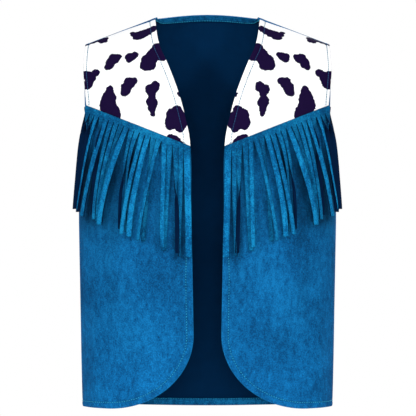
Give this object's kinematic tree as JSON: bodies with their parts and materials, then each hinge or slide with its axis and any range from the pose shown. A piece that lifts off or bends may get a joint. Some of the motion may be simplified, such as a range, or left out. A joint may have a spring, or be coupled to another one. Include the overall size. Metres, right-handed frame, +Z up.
{
  "type": "western vest",
  "caption": "Open-fronted sleeveless vest in its worn, hollow shape, with contrasting front yokes, rounded front corners and long cut fringe across front and back.",
  "frame": {"origin": "midway between the two side neck points, the inner ends of the shoulder seams, where the shoulders carry the vest", "axes": "+Z up, -Y out of the front, +X to the right as seen from the front, which is the wearer's left side"},
  "size_m": [0.286, 0.1755, 0.4285],
  "materials": {
    "suede": "napped blue faux suede cloth",
    "fringe_suede": "napped blue faux suede cloth, cut in strands",
    "turned_suede": "blue faux suede cloth, turned in and stitched",
    "cow_print": "smooth white cloth with a dark cow print"
  },
  "bodies": {
    "root": {"front_left": "suede", "front_right": "suede", "back": "suede", "yoke_left": "cow_print", "yoke_right": "cow_print", "fringe_front_left": "fringe_suede", "fringe_front_right": "fringe_suede", "fringe_back_left": "fringe_suede", "fringe_back_right": "fringe_suede", "back_neck_hem": "turned_suede", "back_bottom_hem": "turned_suede"}
  },
  "joints": []
}
